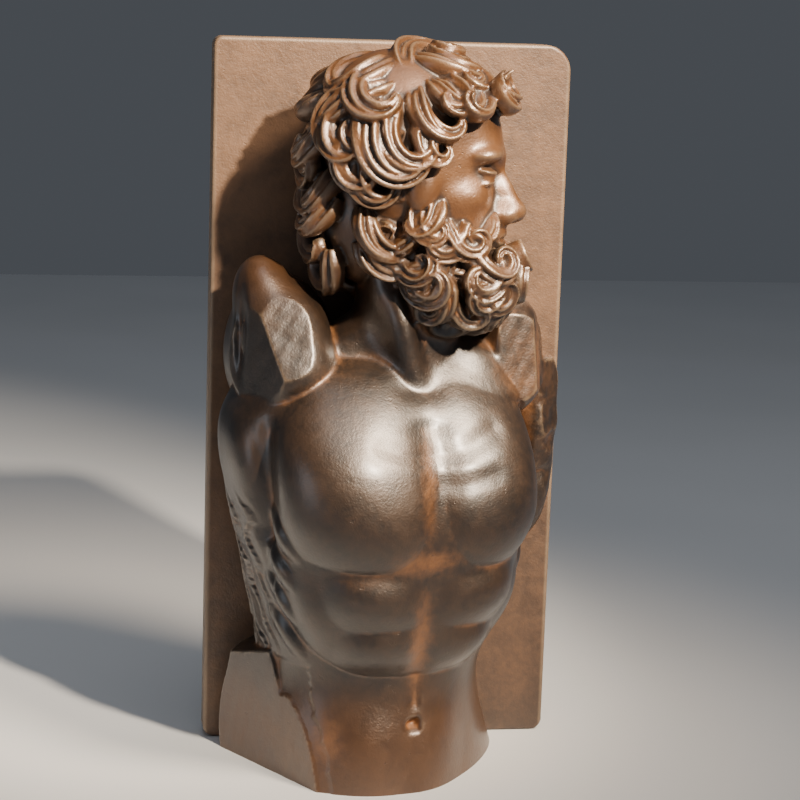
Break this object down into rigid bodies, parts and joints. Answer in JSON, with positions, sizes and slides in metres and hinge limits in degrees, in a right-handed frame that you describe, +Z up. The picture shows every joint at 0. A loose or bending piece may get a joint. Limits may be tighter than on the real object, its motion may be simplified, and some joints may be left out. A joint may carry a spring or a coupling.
{
  "type": "relief bust",
  "caption": "Bearded classical torso in high relief, arms broken to stumps, cast in one with the flat upright slab behind it.",
  "frame": {"origin": "on the ground, midway along the foot of the slab's front face", "axes": "+Z up along the slab, +Y out of the slab's flat back, +X to the side that the head is turned to"},
  "size_m": [0.1505, 0.1058, 0.3035],
  "materials": {
    "patinated_iron": "satin dark brown patina, rust orange in the hollows and on the slab"
  },
  "bodies": {
    "root": {"relief_bust": "patinated_iron"}
  },
  "joints": []
}
